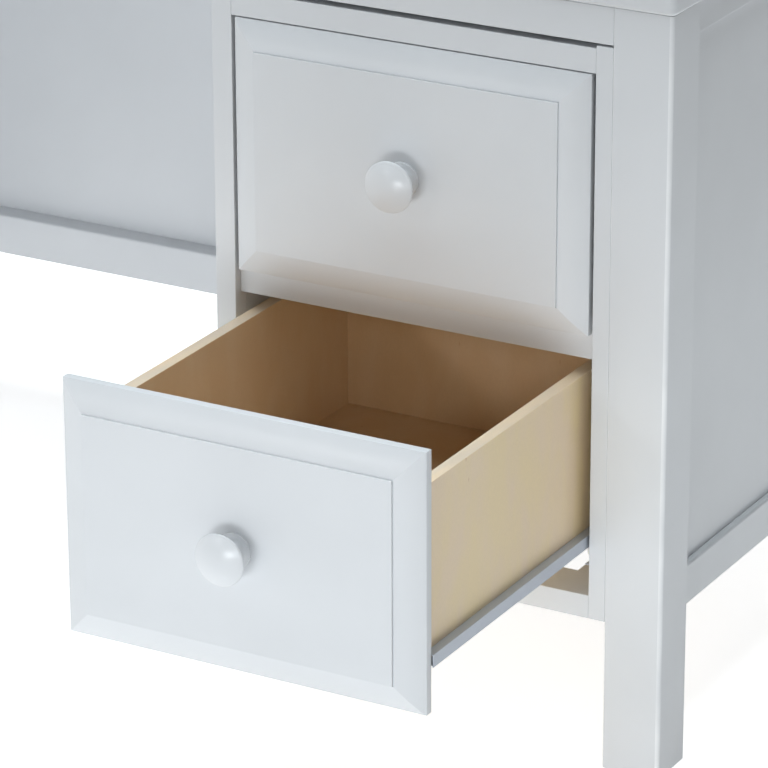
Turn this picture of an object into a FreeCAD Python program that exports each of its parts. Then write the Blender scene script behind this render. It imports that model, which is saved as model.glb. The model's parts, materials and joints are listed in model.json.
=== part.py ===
import FreeCAD, Part
import math
import os
from types import SimpleNamespace

# Writing desk with one hung drawer pedestal, millimetres.
# X runs along the front, +Y to the back, +Z up. The floor is z = 0 and the
# origin is the middle of the footprint. Each function below makes one
# sub-part, or a family of alike ones, and save() writes it to parts/.

V = FreeCAD.Vector

# --- desk ---------------------------------------------------------------
desk_height = 762.0
frame_width = 1213.0        # outside of the legs, along X
frame_depth = 611.0         # outside of the legs, along Y
top_thickness = 28.0
top_overhang = 3.0
top_corner_radius = 8.0
top_edge_radius = 6.0
top_under_radius = 5.0
leg_width = 57.0
leg_depth = 54.0
leg_corner_radius = 4.0
leg_arris_radius = 1.0
glide_diameter = 24.0
glide_height = 4.0
glide_edge_radius = 1.5
apron_height = 34.2
apron_thickness = 18.0
rail_thickness = 38.0       # side and back rails
rail_setback = 9.0          # rail face behind the leg's outer face
rail_arris_radius = 2.5
side_bottom_rail_height = 39.5
back_bottom_rail_height = 45.0
floor_clearance = 151.0     # floor to the bottom rails and the pedestal
panel_thickness = 5.0
panel_recess = 7.5          # panel face behind the rail's outer face
panel_tongue = 8.0          # depth of the panel in its grooves

# --- pedestal cabinet ---------------------------------------------------
opening_width = 371.0
stile_width_left = 21.0
stile_thickness = 19.0
apron_gap = 2.1             # apron to the top of the stiles
stile_rise = 2.7            # stile top above the top rail
top_rail_height = 23.1
mid_rail_height = 38.0
mid_rail_drop = 25.2        # mid rail's lower edge below the upper front
mid_rail_thickness = 20.0
bottom_rail_rise = 23.2
bottom_rail_depth = 47.0
bottom_side_width = 34.7
cabinet_panel_thickness = 16.8    # the right stile is as wide
cabinet_back_thickness = 10.0

# --- drawer fronts ------------------------------------------------------
front_gap = 3.7             # at the sides and between the two fronts
front_top_gap = 1.1
front_bottom_gap = 3.9
front_edge_thickness = 8.7
front_border = 26.6
front_field_proud = 13.5    # raised field in front of the outer edge
front_field_step = 1.8
front_border_bow = 1.2      # rise of the border's arc above its chord
front_arris_radius = 0.5
front_stop_gap = 0.4        # closed front to the mid rail
open_distance = 299.0       # how far the lower drawer stands open

# --- drawer boxes -------------------------------------------------------
board_thickness = 12.7
box_side_gap = 11.2         # cabinet side to the drawer side
box_drop = 36.7             # box's top edge below the front's top edge
box_foot_rise = 44.8        # box's lower edge above the front's lower edge
box_back_clearance = 75.8   # closed box to the pedestal's back
bottom_thickness = 5.0
bottom_rise = 10.2
bottom_tongue = 6.0

# --- roller slides ------------------------------------------------------
steel = 1.2
slide_front_gap = 0.5       # drawer member behind the drawer front
slide_back_gap = 15.5       # drawer member's end to the box's end
slide_web_height = 9.7
slide_under_flange = 9.0
slide_side_play = 0.8       # drawer member to the cabinet member
slide_lip = 2.7
cabinet_slide_front = 3.0   # cabinet member behind the closed front
channel_drop = 3.8          # channel's top below the drawer flange
channel_clear = 18.0        # inside height of the channel
channel_notch = 28.0        # length without a top flange at the front
roller_width = 5.5
roller_gap = 0.3
roller_end_play = 0.3
roller_lip_gap = 0.5
channel_tab_gap = 0.5       # channel flanges to the drawer member's tab
front_roller_radius = 9.0
front_roller_setback = 12.0
rear_roller_setback = 14.0
pin_radius = 2.5
pin_clearance = 0.05
pin_head_radius = 3.5
pin_head_thickness = 0.8
tab_half_length = 9.0
tab_below_axle = 5.0

# --- knobs --------------------------------------------------------------
knob_radius = 24.3
knob_rim_height = 26.0
knob_rim_thickness = 1.6
knob_dome_height = 7.0
knob_neck_radius = 9.0
knob_base_radius = 16.5
knob_foot_height = 2.5
knob_neck_height = 10.5
knob_waist_sag = 1.8        # hollow of the foot's cove
knob_cove_sag = 4.0         # hollow under the head

# --- fasteners ----------------------------------------------------------
screw_radius = 2.0
screw_head_radius = 4.0
screw_head_height = 2.4
slide_screw_head_height = 1.4
slide_screw_length = 12.0   # into the cabinet sides
slide_screw_margin = 1.9    # wood left between a drawer slide's screw and the drawer's floor
slide_screw_inset_x = 4.4   # drawer slide's screws to the box side's outer face
slide_screw_inset = 60.0    # slide's ends to the first and last screw
front_screw_grip = 7.3      # depth reached in the drawer front
front_screw_inset_x = 41.6  # from the box's inner sides
front_screw_inset_low = 27.45   # above the box's lower edge
front_screw_inset_high = 35.55  # below the box's upper edge
knob_screw_grip = 14.0      # depth reached in the knob
cabinet_screw_length = 40.0
cabinet_screw_inset = 60.0
leg_screw_drop_upper = 30.0     # below the upper box's top edge
leg_screw_drop_lower = 51.8     # below the lower box's top edge
leg_screw_setback = 36.0    # behind the leg's front face
top_screw_grip = 14.0       # depth reached in the desktop
top_screw_sink = 8.0        # head above the rail's lower edge
top_screw_access = 4.5      # radius of the bore below the head
top_screw_inset = 60.0      # from the legs
top_screw_rail_inset = 12.0     # from a rail's inner face

# --- places worked out from the sizes ----------------------------------
frame_right = frame_width / 2
frame_back = frame_depth / 2
frame_front = -frame_back
top_underside = desk_height - top_thickness
apron_bottom = top_underside - apron_height
stile_top = apron_bottom - apron_gap
top_rail_top = stile_top - stile_rise
top_rail_bottom = top_rail_top - top_rail_height
cabinet_right = frame_right - leg_width
opening_right = cabinet_right - cabinet_panel_thickness
opening_left = opening_right - opening_width
cabinet_left = opening_left - stile_width_left
opening_middle = (opening_left + opening_right) / 2
rail_inner_back = frame_back - rail_setback - rail_thickness
cabinet_back = rail_inner_back
cabinet_bottom = floor_clearance
bottom_rail_top = cabinet_bottom + bottom_rail_rise
front_room = top_rail_bottom - bottom_rail_top - front_top_gap - front_gap - front_bottom_gap
front_height = front_room / 2
upper_front_top = top_rail_bottom - front_top_gap
upper_front_bottom = upper_front_top - front_height
lower_front_top = upper_front_bottom - front_gap
mid_rail_bottom = upper_front_bottom - mid_rail_drop
front_width = opening_width - 2 * front_gap
front_back_face = frame_front + front_edge_thickness
box_height = front_height - box_drop - box_foot_rise
box_depth = cabinet_back - cabinet_back_thickness - box_back_clearance - front_back_face
slide_length = box_depth - slide_front_gap - slide_back_gap
box_half_width = opening_width / 2 - box_side_gap
flange_half = opening_width / 2 - steel - slide_side_play
rear_roller_radius = channel_clear / 2 - roller_gap
front_roller_inner = flange_half - steel - roller_lip_gap - roller_width
front_rollers_y = front_back_face + cabinet_slide_front + front_roller_setback
rear_rollers_y = front_back_face + slide_front_gap + slide_length - rear_roller_setback


def save(name, shape):
    shape.exportStep("parts/" + name + ".step")


def block(x0, x1, y0, y1, z0, z1):
    return Part.makeBox(x1 - x0, y1 - y0, z1 - z0, V(x0, y0, z0))


def group(shapes):
    return Part.makeCompound(shapes)


def edges_along(shape, axis, test):
    """Straight edges of a shape that run along one axis and pass a test."""
    found = []
    for edge in shape.Edges:
        run = edge.Vertexes[-1].Point - edge.Vertexes[0].Point
        if run.Length > 0 and abs(abs(run[axis]) - run.Length) < 1e-6:
            if test(edge.CenterOfMass):
                found.append(edge)
    return found


def rod(start, direction, length, radius):
    return Part.makeCylinder(radius, length, start, direction)


def screw(seat, direction, length, head_height=screw_head_height):
    """Pan-head screw whose head rests on the surface at seat."""
    shank = rod(seat, direction, length, screw_radius)
    head = rod(seat, direction * -1, head_height, screw_head_radius)
    return shank.fuse(head).removeSplitter()


def drilled(shape, screws):
    for one in screws:
        shape = shape.cut(one)
    return shape


def desk_screws():
    """Upright screws that hold the desktop down, with their access bores."""
    across = frame_right - leg_width - top_screw_inset
    along = frame_back - leg_depth - top_screw_inset
    rail_line = rail_setback + rail_thickness - top_screw_rail_inset
    front = frame_front + apron_thickness / 2
    spots = [(x, front) for x in (-across, 0, across)]
    spots += [(x, frame_back - rail_line) for x in (-across, 0, across)]
    spots += [(x * (frame_right - rail_line), y) for x in (-1, 1) for y in (-along, along)]
    length = apron_height - top_screw_sink + top_screw_grip
    screws = []
    bores = []
    for x, y in spots:
        screws.append(screw(V(x, y, apron_bottom + top_screw_sink), V(0, 0, 1), length))
        bores.append(rod(V(x, y, apron_bottom), V(0, 0, 1), top_screw_sink, top_screw_access))
    return screws, bores


def cabinet_screws():
    """Screws from inside the pedestal into the front leg and the back rail."""
    screws = []
    y = frame_front + leg_screw_setback
    for z in (upper_front_top - box_drop - leg_screw_drop_upper,
              lower_front_top - box_drop - leg_screw_drop_lower):
        screws.append(screw(V(opening_right, y, z), V(1, 0, 0), cabinet_screw_length))
    y = cabinet_back - cabinet_back_thickness
    z = apron_bottom + apron_height / 2
    reach = opening_width / 2 - cabinet_screw_inset
    for x in (opening_middle - reach, opening_middle, opening_middle + reach):
        screws.append(screw(V(x, y, z), V(0, 1, 0), cabinet_screw_length))
    return screws


def desktop():
    half_x = frame_right + top_overhang
    half_y = frame_back + top_overhang
    slab = block(-half_x, half_x, -half_y, half_y, top_underside, desk_height)
    slab = slab.makeFillet(top_corner_radius, edges_along(slab, 2, lambda c: True))
    upper = [e for e in slab.Edges if abs(e.BoundBox.ZMin - desk_height) < 1e-6]
    slab = slab.makeFillet(top_edge_radius, upper)
    lower = [e for e in slab.Edges if abs(e.BoundBox.ZMax - top_underside) < 1e-6]
    return slab.makeFillet(top_under_radius, lower)


def leg(side, end):
    """Square post; side is -1 left or 1 right, end is -1 front or 1 back."""
    x0, x1 = sorted((side * frame_right, side * (frame_right - leg_width)))
    y0, y1 = sorted((end * frame_back, end * (frame_back - leg_depth)))
    post = block(x0, x1, y0, y1, glide_height, top_underside)
    outer = V(side * frame_right, end * frame_back, 0)

    def is_outer(c):
        return abs(c.x - outer.x) < 1e-6 and abs(c.y - outer.y) < 1e-6

    post = post.makeFillet(leg_corner_radius, edges_along(post, 2, is_outer))
    rest = edges_along(post, 2, lambda c: min(abs(c.x - x0), abs(c.x - x1)) < 1e-6
                       and min(abs(c.y - y0), abs(c.y - y1)) < 1e-6)
    return post.makeFillet(leg_arris_radius, rest)


def leg_glides():
    """Four nail-on glides under the legs."""
    glides = []
    for side in (-1, 1):
        for end in (-1, 1):
            x = side * (frame_right - leg_width / 2)
            y = end * (frame_back - leg_depth / 2)
            disc = rod(V(x, y, 0), V(0, 0, 1), glide_height, glide_diameter / 2)
            rim = [e for e in disc.Edges if abs(e.BoundBox.ZMax) < 1e-6]
            glides.append(disc.makeFillet(glide_edge_radius, rim))
    return group(glides)


def side_rail(side, z0, z1):
    outer = frame_right - rail_setback
    x0, x1 = sorted((side * outer, side * (outer - rail_thickness)))
    reach = frame_back - leg_depth
    return block(x0, x1, -reach, reach, z0, z1)


def back_rail(z0, z1):
    reach = frame_right - leg_width
    return block(-reach, reach, rail_inner_back, frame_back - rail_setback, z0, z1)


def rounded_top(rail, axis):
    """Rounds a bottom rail's two long upper edges."""
    top = rail.BoundBox.ZMax
    edges = edges_along(rail, axis, lambda c: abs(c.z - top) < 1e-6)
    return rail.makeFillet(rail_arris_radius, edges)


def side_panel(side):
    outer = frame_right - rail_setback - panel_recess
    x0, x1 = sorted((side * outer, side * (outer - panel_thickness)))
    reach = frame_back - leg_depth + panel_tongue
    low = floor_clearance + side_bottom_rail_height - panel_tongue
    return block(x0, x1, -reach, reach, low, apron_bottom + panel_tongue)


def back_panel():
    outer = frame_back - rail_setback - panel_recess
    reach = frame_right - leg_width + panel_tongue
    low = floor_clearance + back_bottom_rail_height - panel_tongue
    return block(-reach, reach, outer - panel_thickness, outer, low, apron_bottom + panel_tongue)


def make_desk():
    """Top, legs, rails and panels, with the panels let into grooves."""
    screws, bores = desk_screws()
    hanging = cabinet_screws()
    panels = {"left_panel": side_panel(-1), "right_panel": side_panel(1)}
    panels["back_panel"] = back_panel()
    grooves = list(panels.values())
    low = floor_clearance
    side_high = low + side_bottom_rail_height
    back_high = low + back_bottom_rail_height
    pieces = {"front_apron": block(leg_width - frame_right, frame_right - leg_width, frame_front,
                                   frame_front + apron_thickness, apron_bottom, top_underside)}
    for name, side in (("left", -1), ("right", 1)):
        pieces[name + "_top_rail"] = side_rail(side, apron_bottom, top_underside)
        pieces[name + "_bottom_rail"] = rounded_top(side_rail(side, low, side_high), 1)
        pieces["leg_front_" + name] = leg(side, -1)
        pieces["leg_back_" + name] = leg(side, 1)
    pieces["back_top_rail"] = back_rail(apron_bottom, top_underside)
    pieces["back_bottom_rail"] = rounded_top(back_rail(low, back_high), 0)
    pieces["desktop"] = desktop()
    for name, piece in pieces.items():
        cutters = [c for c in grooves + screws + bores + hanging if c.BoundBox.intersect(piece.BoundBox)]
        save(name, drilled(piece, cutters))
    for name, panel in panels.items():
        save(name, panel)
    save("desktop_screws", group(screws))
    save("leg_glides", leg_glides())


def cabinet_panel(x0, x1):
    """Side of the pedestal, from the stile back, up to the desktop."""
    front = frame_front + stile_thickness
    back = cabinet_back - cabinet_back_thickness
    panel = block(x0, x1, front, back, cabinet_bottom, top_underside)
    apron_room = block(x0, x1, frame_front, frame_front + apron_thickness, apron_bottom, top_underside)
    return panel.cut(apron_room)


def make_pedestal():
    """Face frame, case and open bottom frame of the drawer pedestal."""
    screws = cabinet_screws() + slide_screws_in_case()
    front = frame_front
    case_back = cabinet_back - cabinet_back_thickness
    stile_back = front + stile_thickness
    frame_depth_back = front + bottom_rail_depth
    panel_left = opening_left - cabinet_panel_thickness
    inner_left = opening_left + bottom_side_width
    inner_right = opening_right - bottom_side_width
    low = cabinet_bottom
    high = bottom_rail_top
    mid_front = front_back_face + front_stop_gap
    pieces = {
        "pedestal_left_stile": block(cabinet_left, opening_left, front, stile_back, low, stile_top),
        "pedestal_right_stile": block(opening_right, cabinet_right, front, stile_back, low, stile_top),
        "pedestal_top_rail": block(opening_left, opening_right, front, stile_back,
                                   top_rail_bottom, top_rail_top),
        "pedestal_mid_rail": block(opening_left, opening_right, mid_front,
                                   mid_front + mid_rail_thickness,
                                   mid_rail_bottom, mid_rail_bottom + mid_rail_height),
        "pedestal_bottom_rail": block(opening_left, opening_right, front, frame_depth_back, low, high),
        "pedestal_bottom_left": block(opening_left, inner_left, frame_depth_back, case_back, low, high),
        "pedestal_bottom_right": block(inner_right, opening_right, frame_depth_back, case_back,
                                       low, high),
        "pedestal_bottom_back": block(inner_left, inner_right, case_back - bottom_rail_depth,
                                      case_back, low, high),
        "pedestal_left_panel": cabinet_panel(panel_left, opening_left),
        "pedestal_right_panel": cabinet_panel(opening_right, cabinet_right),
        "pedestal_back_panel": block(panel_left, cabinet_right, case_back, cabinet_back,
                                     low, top_underside),
    }
    for name, piece in pieces.items():
        save(name, drilled(piece, [s for s in screws if s.BoundBox.intersect(piece.BoundBox)]))
    save("pedestal_screws", group(cabinet_screws()))


def slide_levels(front_top):
    """Heights that a drawer's slides share, from the top of its front."""
    box_bottom = front_top - box_drop - box_height
    top = box_bottom - channel_drop
    floor = top - steel - channel_clear
    return SimpleNamespace(box_bottom=box_bottom, channel_top=top, channel_floor=floor,
                           front_axle=box_bottom - steel - roller_gap - front_roller_radius,
                           rear_axle=floor + roller_gap + rear_roller_radius)


def to_side(side, x0, x1):
    """X range on one side of the pedestal's middle, from outward distances."""
    return sorted((opening_middle + side * x0, opening_middle + side * x1))


def slide_screw_places(front):
    return [front + slide_screw_inset,
            front + slide_length / 2,
            front + slide_length - slide_screw_inset]


def case_slide_screws(front_top):
    """Screws of one drawer's two channels, into the case sides."""
    levels = slide_levels(front_top)
    z = (levels.channel_top + levels.channel_floor) / 2
    web_face = opening_width / 2 - steel
    screws = []
    for side in (-1, 1):
        x = opening_middle + side * web_face
        for y in slide_screw_places(front_back_face + cabinet_slide_front):
            screws.append(screw(V(x, y, z), V(side, 0, 0), slide_screw_length, slide_screw_head_height))
    return screws


def slide_screws_in_case():
    return case_slide_screws(upper_front_top) + case_slide_screws(lower_front_top)


def case_slide(side, front_top):
    """Channel on the case side, open towards the drawer, with a roller pin."""
    levels = slide_levels(front_top)
    top = levels.channel_top
    floor = levels.channel_floor
    y0 = front_back_face + cabinet_slide_front
    y1 = y0 + slide_length
    wall = opening_width / 2
    inner = box_half_width + steel + channel_tab_gap
    x0, x1 = to_side(side, wall - steel, wall)
    channel = block(x0, x1, y0, y1, floor - steel, top)
    x0, x1 = to_side(side, inner, wall)
    channel = channel.fuse(block(x0, x1, y0, y1, floor - steel, floor))
    channel = channel.fuse(block(x0, x1, y0 + channel_notch, y1, top - steel, top))
    pin_end = front_roller_inner - roller_end_play
    start = V(opening_middle + side * wall, front_rollers_y, levels.front_axle)
    inward = V(-side, 0, 0)
    channel = channel.fuse(rod(start, inward, wall - pin_end, pin_radius))
    start = V(opening_middle + side * pin_end, front_rollers_y, levels.front_axle)
    channel = channel.fuse(rod(start, inward, pin_head_thickness, pin_head_radius))
    return drilled(channel.removeSplitter(), case_slide_screws(front_top))


def roller(side, x_inner, y, z, radius):
    """Wheel with a plain bore, from an outward distance x_inner."""
    x0, x1 = to_side(side, x_inner, x_inner + roller_width)
    wheel = rod(V(x0, y, z), V(1, 0, 0), roller_width, radius)
    return wheel.cut(rod(V(x0, y, z), V(1, 0, 0), roller_width, pin_radius + pin_clearance))


def make_case_slides(prefix, front_top):
    axle = slide_levels(front_top).front_axle
    wheels = []
    for name, side in (("left", -1), ("right", 1)):
        save(prefix + "_cabinet_slide_" + name, case_slide(side, front_top))
        wheels.append(roller(side, front_roller_inner, front_rollers_y, axle, front_roller_radius))
    save(prefix + "_front_rollers", group(wheels))


def front_profile(place, half):
    """Closed outline of a drawer front across one direction.

    place(depth, along) gives a point, with depth 0 at the outer edge's
    front corner and growing towards the user. The border is a low arc
    that falls from the field's step to the outer edge.
    """
    rise = front_field_proud - front_field_step
    chord = math.hypot(rise, front_border)
    bow_depth = front_border_bow * front_border / chord
    bow_along = front_border_bow * rise / chord
    edges = []

    def line(a, b):
        edges.append(Part.LineSegment(place(*a), place(*b)).toShape())

    def border(sign):
        outer = (0, sign * half)
        middle = (rise / 2 + bow_depth, sign * (half - front_border / 2 + bow_along))
        foot = (rise, sign * (half - front_border))
        crest = (front_field_proud, sign * (half - front_border))
        edges.append(Part.Arc(place(*outer), place(*middle), place(*foot)).toShape())
        line(foot, crest)
        line((-front_edge_thickness, sign * half), outer)
        return crest

    line(border(-1), border(1))
    line((-front_edge_thickness, -half), (-front_edge_thickness, half))
    return Part.Face(Part.Wire(Part.__sortEdges__(edges)))


def drawer_front(front_top):
    """Raised-field front with mitred, rounded borders."""
    middle = front_top - front_height / 2
    half_x = front_width / 2
    half_z = front_height / 2
    upright = front_profile(lambda d, a: V(opening_middle - half_x, frame_front - d, middle + a), half_z)
    across = front_profile(lambda d, a: V(opening_middle + a, frame_front - d, middle - half_z), half_x)
    shape = upright.extrude(V(front_width, 0, 0)).common(across.extrude(V(0, 0, front_height)))
    crest = frame_front - front_field_proud
    rim = [e for e in shape.Edges if abs(e.CenterOfMass.y - crest) < 1e-6]
    return shape.makeFillet(min(front_arris_radius, 0.9 * front_field_step), rim)


def bent(a, b, sag):
    """Middle point of an arc from a to b that bows to the left of the way."""
    run = math.dist(a, b)
    return ((a[0] + b[0]) / 2 - sag * (b[1] - a[1]) / run,
            (a[1] + b[1]) / 2 + sag * (b[0] - a[0]) / run)


def knob(front_top):
    """Turned knob: foot, waisted neck, thin rim and a low dome."""
    rim_low = knob_rim_height - knob_rim_thickness
    tip = knob_rim_height + knob_dome_height
    foot = (knob_base_radius, knob_foot_height)
    neck = (knob_neck_radius, knob_neck_height)
    brim = (knob_radius, rim_low)
    dome_radius = (knob_radius ** 2 + knob_dome_height ** 2) / (2 * knob_dome_height)
    half_sweep = math.asin(knob_radius / dome_radius) / 2
    dome_middle = (dome_radius * math.sin(half_sweep),
                   tip - dome_radius * (1 - math.cos(half_sweep)))
    spots = [(0, 0), (knob_base_radius, 0), foot, neck, brim, (knob_radius, knob_rim_height), (0, tip)]
    bends = {2: bent(foot, neck, knob_waist_sag), 3: bent(neck, brim, knob_cove_sag), 5: dome_middle}
    centre = V(opening_middle, frame_front - front_field_proud, front_top - front_height / 2)

    def place(spot):
        return centre + V(spot[0], -spot[1], 0)

    edges = []
    for i, spot in enumerate(spots):
        following = spots[(i + 1) % len(spots)]
        if i in bends:
            curve = Part.Arc(place(spot), place(bends[i]), place(following))
        else:
            curve = Part.LineSegment(place(spot), place(following))
        edges.append(curve.toShape())
    return Part.Face(Part.Wire(edges)).revolve(centre, V(0, 1, 0), 360)


def drawer_slide(side, front_top):
    """Steel channel beside and under a box side, with its rear roller tab and pin."""
    levels = slide_levels(front_top)
    box_bottom = levels.box_bottom
    axle = levels.rear_axle
    y0 = front_back_face + slide_front_gap
    y1 = y0 + slide_length
    wall = box_half_width
    cover_top = box_bottom + slide_web_height
    x0, x1 = to_side(side, wall, flange_half)
    cover = block(x0, x1, y0, y1, cover_top - steel, cover_top)
    x0, x1 = to_side(side, wall, wall + steel)
    y = rear_rollers_y
    tab = block(x0, x1, y - tab_half_length, y + tab_half_length, axle - tab_below_axle, box_bottom)
    x0, x1 = to_side(side, wall - slide_under_flange, flange_half)
    flange = block(x0, x1, y0, y1, box_bottom - steel, box_bottom)
    x0, x1 = to_side(side, flange_half - steel, flange_half)
    web = block(x0, x1, y0, y1, box_bottom - slide_lip, cover_top)
    reach = steel + roller_width + 2 * roller_end_play
    outward = V(side, 0, 0)
    pin = rod(V(opening_middle + side * wall, y, axle), outward, reach, pin_radius)
    head_start = V(opening_middle + side * (wall + reach), y, axle)
    head = rod(head_start, outward, pin_head_thickness, pin_head_radius)
    return web.fuse([cover, flange, tab, pin, head]).removeSplitter()


def drawer_screws(front_top):
    """Screws of the front and of the two drawer slide members."""
    inside = front_back_face + board_thickness
    box_bottom = slide_levels(front_top).box_bottom
    box_top = box_bottom + box_height
    reach = box_half_width - board_thickness - front_screw_inset_x
    screws = []
    for x in (-reach, reach):
        for z in (box_bottom + front_screw_inset_low, box_top - front_screw_inset_high):
            seat = V(opening_middle + x, inside, z)
            screws.append(screw(seat, V(0, -1, 0), board_thickness + front_screw_grip))
    grip = steel + bottom_rise - slide_screw_margin
    for side in (-1, 1):
        x = opening_middle + side * (box_half_width - slide_screw_inset_x)
        for y in slide_screw_places(front_back_face + slide_front_gap):
            seat = V(x, y, box_bottom - steel)
            screws.append(screw(seat, V(0, 0, 1), grip, slide_screw_head_height))
    return screws


def make_drawer(prefix, front_top, opened):
    """One drawer with its box, front, knob and slides, drawn out by opened."""
    box_top = front_top - box_drop
    levels = slide_levels(front_top)
    box_bottom = levels.box_bottom
    y0 = front_back_face
    y1 = y0 + box_depth
    half = box_half_width
    inner = half - board_thickness
    tongue = board_thickness - bottom_tongue
    middle = opening_middle
    bottom_low = box_bottom + bottom_rise
    boards = {
        "box_front": block(middle - inner, middle + inner, y0, y0 + board_thickness, box_bottom, box_top),
        "box_back": block(middle - inner, middle + inner, y1 - board_thickness, y1, box_bottom, box_top),
        "box_left": block(middle - half, middle - inner, y0, y1, box_bottom, box_top),
        "box_right": block(middle + inner, middle + half, y0, y1, box_bottom, box_top),
        "front": drawer_front(front_top),
        "knob": knob(front_top),
        "slide_left": drawer_slide(-1, front_top),
        "slide_right": drawer_slide(1, front_top),
    }
    floor_board = block(middle - half + tongue, middle + half - tongue, y0 + tongue, y1 - tongue,
                        bottom_low, bottom_low + bottom_thickness)
    screws = drawer_screws(front_top)
    knob_seat = V(middle, y0 + board_thickness, front_top - front_height / 2)
    knob_grip = board_thickness + front_edge_thickness + front_field_proud + knob_screw_grip
    knob_screw = screw(knob_seat, V(0, -1, 0), knob_grip)
    shift = V(0, -opened, 0)
    for name, board in boards.items():
        cutters = [floor_board] + screws + [knob_screw]
        piece = drilled(board, [c for c in cutters if c.BoundBox.intersect(board.BoundBox)])
        save(prefix + "_" + name, piece.translated(shift))
    save(prefix + "_box_bottom", floor_board.translated(shift))
    save(prefix + "_screws", group(screws).translated(shift))
    save(prefix + "_knob_screw", knob_screw.translated(shift))
    start = half + steel + roller_end_play
    wheels = [roller(side, start, rear_rollers_y, levels.rear_axle, rear_roller_radius)
              for side in (-1, 1)]
    save(prefix + "_rear_rollers", group(wheels).translated(shift))


def main():
    os.makedirs("parts", exist_ok=True)
    make_desk()
    make_pedestal()
    for prefix, front_top, opened in (("upper", upper_front_top, 0.0),
                                      ("lower", lower_front_top, open_distance)):
        make_case_slides(prefix, front_top)
        make_drawer(prefix, front_top, opened)
    save("cabinet_slide_screws", group(slide_screws_in_case()))


main()
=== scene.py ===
import json
import math

import bmesh
import bpy
import numpy as np
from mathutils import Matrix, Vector


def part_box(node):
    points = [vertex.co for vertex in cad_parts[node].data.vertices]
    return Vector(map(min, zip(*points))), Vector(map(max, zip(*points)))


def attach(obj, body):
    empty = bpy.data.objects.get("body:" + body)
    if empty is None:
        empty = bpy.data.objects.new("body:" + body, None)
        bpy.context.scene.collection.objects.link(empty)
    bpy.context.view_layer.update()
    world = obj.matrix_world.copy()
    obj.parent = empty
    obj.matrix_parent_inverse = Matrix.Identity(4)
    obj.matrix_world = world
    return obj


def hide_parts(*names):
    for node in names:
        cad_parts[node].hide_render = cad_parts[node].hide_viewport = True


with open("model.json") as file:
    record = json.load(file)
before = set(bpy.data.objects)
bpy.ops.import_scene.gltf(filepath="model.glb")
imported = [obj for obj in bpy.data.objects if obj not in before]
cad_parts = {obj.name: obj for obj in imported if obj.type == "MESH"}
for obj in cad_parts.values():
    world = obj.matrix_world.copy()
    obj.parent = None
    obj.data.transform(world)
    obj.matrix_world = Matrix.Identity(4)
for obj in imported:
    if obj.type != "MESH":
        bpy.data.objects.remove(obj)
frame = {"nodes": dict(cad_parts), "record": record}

bl_info = {
    "name": "Writing Desk with a Drawer Pedestal",
    "version": (1, 0, 0),
    "blender": (4, 5, 0),
    "location": "View3D > Sidebar > Desk",
    "description": "Lacquered desk with two plywood drawers on roller slides, in a studio",
    "category": "Add Mesh",
}

MM = 0.001
WELD = 1e-6  # corners closer than this, in metres, are one
NODES = frame["nodes"]
NODE_BODY = {node: body for body, nodes in frame["record"]["behaviour"]["bodies"].items()
             for node in nodes}
NODE_SLOT = {node: piece.data.materials[0].name.split(".")[0] for node, piece in NODES.items()}
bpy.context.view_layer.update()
DRAWERS = ("upper", "lower")


def linear(hex_colour):
    """Scene-linear RGBA of an sRGB hex colour."""
    srgb = np.array([int(hex_colour[i:i + 2], 16) for i in (0, 2, 4)]) / 255
    value = np.where(srgb <= 0.04045, srgb / 12.92, ((srgb + 0.055) / 1.055) ** 2.4)
    return (*value.tolist(), 1.0)


def colour_property(name, description, hex_colour):
    return bpy.props.FloatVectorProperty(name=name, description=description, subtype="COLOR",
                                         size=4, min=0.0, max=1.0, default=linear(hex_colour))


def length_property(name, description, millimetres):
    return bpy.props.FloatProperty(name=name, description=description, unit="LENGTH", min=0.0,
                                   precision=4, default=millimetres * MM)


def angle_property(name, description, degrees):
    return bpy.props.FloatProperty(name=name, description=description, subtype="ANGLE",
                                   default=math.radians(degrees))


# --- sizes and colours that can be changed ------------------------------------

class DeskFinishSettings(bpy.types.PropertyGroup):
    paint: colour_property("Lacquer", "Main tone of the white lacquer", "DFE1E4")
    paint_thin: colour_property("Thin lacquer", "Tone where the lacquer lies thinner", "DCDEE1")
    # A lighter lacquer tone for the legs' rounded arrises: a painted highlight.
    arris_highlight: colour_property("Arris lacquer", "Tone on the legs' rubbed arrises", "F6F7F8")
    veneer: colour_property("Veneer", "Main tone of the birch veneer outside", "F4DCAD")
    veneer_pale: colour_property("Pale veneer", "Greyer figure in the veneer", "F3DAB8")
    ply_edge: colour_property("Plywood edge", "Sanded upper edges of the drawers' boards", "E3D1BA")
    veneer_dark: colour_property("Veneer flecks", "Small orange-brown flecks", "BE8644")
    # The veneer inside the drawers gets a darker, warmer tone than outside: painted shade for the
    # little light that reaches in.
    inside: colour_property("Inside veneer", "Main tone of the oiled veneer inside", "E3C59E")
    inside_pale: colour_property("Pale inside veneer", "Paler figure inside", "E6CBA8")
    zinc: colour_property("Zinc", "Sealed zinc plate on the slides", "C2C7D0")
    screw_zinc: colour_property("Screw zinc", "Zinc plate on the screws", "C9C7BE")
    nylon: colour_property("Nylon", "Moulded rollers and glides", "E9E8E2")


class DeskShapeSettings(bpy.types.PropertyGroup):
    board_ease: length_property("Board arris", "Rounding of a painted board's edges", 0.8)
    ply_ease: length_property("Plywood arris", "Rounding of a drawer board's edges", 0.5)
    steel_ease: length_property("Steel arris", "Rounding at the slides' bends and edges", 0.35)
    top_corner: length_property("Top corner", "Corner radius of the desktop in plan", 8.0)
    top_upper: length_property("Top upper edge", "Radius of the desktop's upper edge", 6.0)
    top_under: length_property("Top under edge", "Radius of the desktop's under edge", 5.0)


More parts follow.
